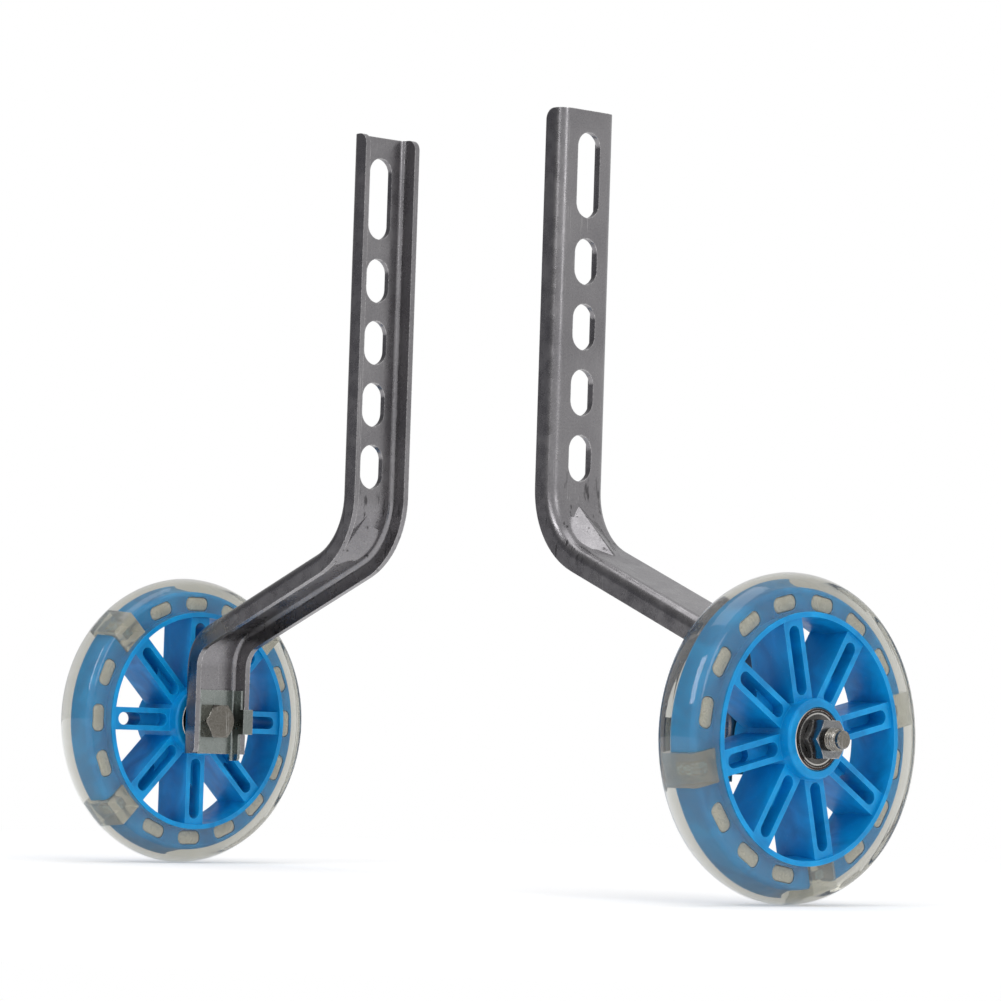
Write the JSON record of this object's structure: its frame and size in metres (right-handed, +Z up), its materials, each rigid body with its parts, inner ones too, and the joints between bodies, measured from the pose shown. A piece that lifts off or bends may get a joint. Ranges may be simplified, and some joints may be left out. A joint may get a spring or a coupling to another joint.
{
  "type": "bicycle training wheels",
  "caption": "Pair of bicycle training wheels: cranked, slotted channel arms, each with a spoked light-up wheel on ball bearings and a bolt axle.",
  "frame": {"origin": "on the ground midway between the two wheels, at the bottom centre of the bounding box", "axes": "+Z up, +Y the bicycle's right-hand side along the wheels' axles, +X along the bicycle"},
  "size_m": [0.114, 0.3918, 0.284],
  "materials": {
    "arm_steel": "bright zinc plate, satin, with small burrs and scratches",
    "plate_zinc": "zinc plate",
    "bolt_zinc": "bright zinc",
    "nut_zinc": "bright zinc",
    "spacer_steel": "zinc",
    "blue_plastic": "moulded translucent blue, satin",
    "clear_tyre": "clear soft moulded plastic",
    "clear_module": "cloudy clear plastic",
    "light_element": "small light and coil, metallic blue",
    "bearing_steel": "ground steel",
    "shield_steel": "pressed steel shield",
    "cage_brass": "moulded cage"
  },
  "bodies": {
    "arms": {"right_arm": "arm_steel", "right_retainer_plate": "plate_zinc", "right_axle_bolt": "bolt_zinc", "right_axle_nut": "nut_zinc", "right_inboard_spacer": "spacer_steel", "right_bearing_spacer": "spacer_steel", "right_inner_inner_race": "bearing_steel", "right_outer_inner_race": "bearing_steel", "left_arm": "arm_steel", "left_retainer_plate": "plate_zinc", "left_axle_bolt": "bolt_zinc", "left_axle_nut": "nut_zinc", "left_inboard_spacer": "spacer_steel", "left_bearing_spacer": "spacer_steel", "left_inner_inner_race": "bearing_steel", "left_outer_inner_race": "bearing_steel"},
    "right_wheel": {"right_wheel_core": "blue_plastic", "right_tyre": "clear_tyre", "right_light_modules": "clear_module", "right_led_inserts": "light_element", "right_inner_outer_race": "bearing_steel", "right_inner_shields": "shield_steel", "right_outer_outer_race": "bearing_steel", "right_outer_shields": "shield_steel"},
    "right_inner_ball_set": {"right_inner_balls": "bearing_steel", "right_inner_cage": "cage_brass"},
    "right_outer_ball_set": {"right_outer_balls": "bearing_steel", "right_outer_cage": "cage_brass"},
    "left_wheel": {"left_wheel_core": "blue_plastic", "left_tyre": "clear_tyre", "left_light_modules": "clear_module", "left_led_inserts": "light_element", "left_inner_outer_race": "bearing_steel", "left_inner_shields": "shield_steel", "left_outer_outer_race": "bearing_steel", "left_outer_shields": "shield_steel"},
    "left_inner_ball_set": {"left_inner_balls": "bearing_steel", "left_inner_cage": "cage_brass"},
    "left_outer_ball_set": {"left_outer_balls": "bearing_steel", "left_outer_cage": "cage_brass"}
  },
  "joints": [
    {"name": "right_wheel_spin", "type": "hinge", "parent": "arms", "child": "right_wheel", "pos_m": [0, 0.17, 0.057], "axis": [0, 1, 0], "continuous": true},
    {"name": "right_inner_balls_orbit", "type": "hinge", "parent": "arms", "child": "right_inner_ball_set", "pos_m": [0, 0.17, 0.057], "axis": [0, 1, 0], "continuous": true},
    {"name": "right_outer_balls_orbit", "type": "hinge", "parent": "arms", "child": "right_outer_ball_set", "pos_m": [0, 0.17, 0.057], "axis": [0, 1, 0], "continuous": true},
    {"name": "left_wheel_spin", "type": "hinge", "parent": "arms", "child": "left_wheel", "pos_m": [0, -0.17, 0.057], "axis": [0, 1, 0], "continuous": true},
    {"name": "left_inner_balls_orbit", "type": "hinge", "parent": "arms", "child": "left_inner_ball_set", "pos_m": [0, -0.17, 0.057], "axis": [0, 1, 0], "continuous": true},
    {"name": "left_outer_balls_orbit", "type": "hinge", "parent": "arms", "child": "left_outer_ball_set", "pos_m": [0, -0.17, 0.057], "axis": [0, 1, 0], "continuous": true}
  ],
  "couplings": [
    {"joint": "right_inner_balls_orbit", "follows": "right_wheel_spin", "ratio": 0.6323},
    {"joint": "right_outer_balls_orbit", "follows": "right_wheel_spin", "ratio": 0.6323},
    {"joint": "left_inner_balls_orbit", "follows": "left_wheel_spin", "ratio": 0.6323},
    {"joint": "left_outer_balls_orbit", "follows": "left_wheel_spin", "ratio": 0.6323}
  ]
}
